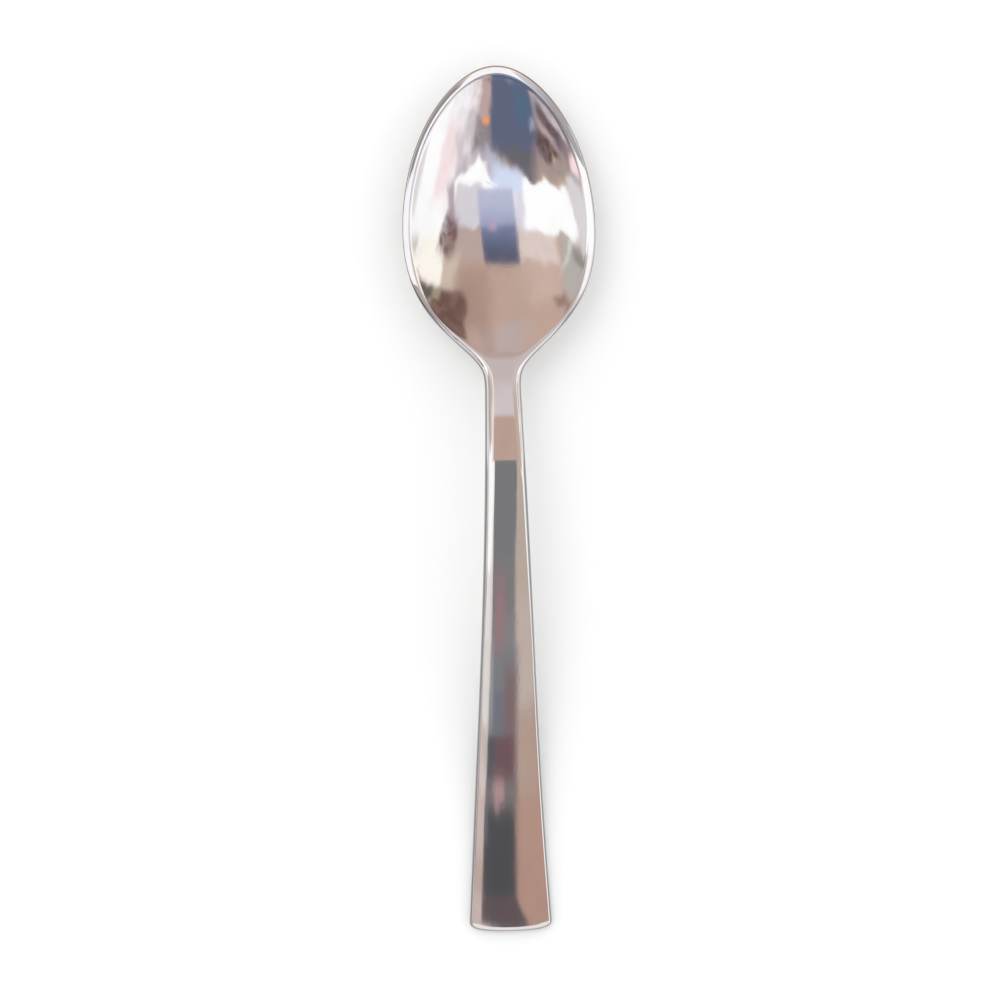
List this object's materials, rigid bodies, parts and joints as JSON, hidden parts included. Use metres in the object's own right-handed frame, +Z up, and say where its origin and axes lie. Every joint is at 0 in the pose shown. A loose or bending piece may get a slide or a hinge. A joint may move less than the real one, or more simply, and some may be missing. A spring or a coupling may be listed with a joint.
{
  "type": "teaspoon",
  "caption": "Polished stainless steel teaspoon with an egg-shaped bowl, a slim neck and a plain handle that flares to a nearly square end.",
  "frame": {"origin": "on the table, midway between the tip of the bowl and the end of the handle, in the spoon's plane of symmetry", "axes": "+Y along the spoon towards the tip of the bowl, +Z up out of the bowl's hollow, X across"},
  "size_m": [0.031, 0.14, 0.014],
  "materials": {
    "polished_steel": "mirror-polished 18/0 stainless steel, lightly worn by use"
  },
  "bodies": {
    "root": {"bowl": "polished_steel", "neck": "polished_steel", "handle": "polished_steel"}
  },
  "joints": []
}
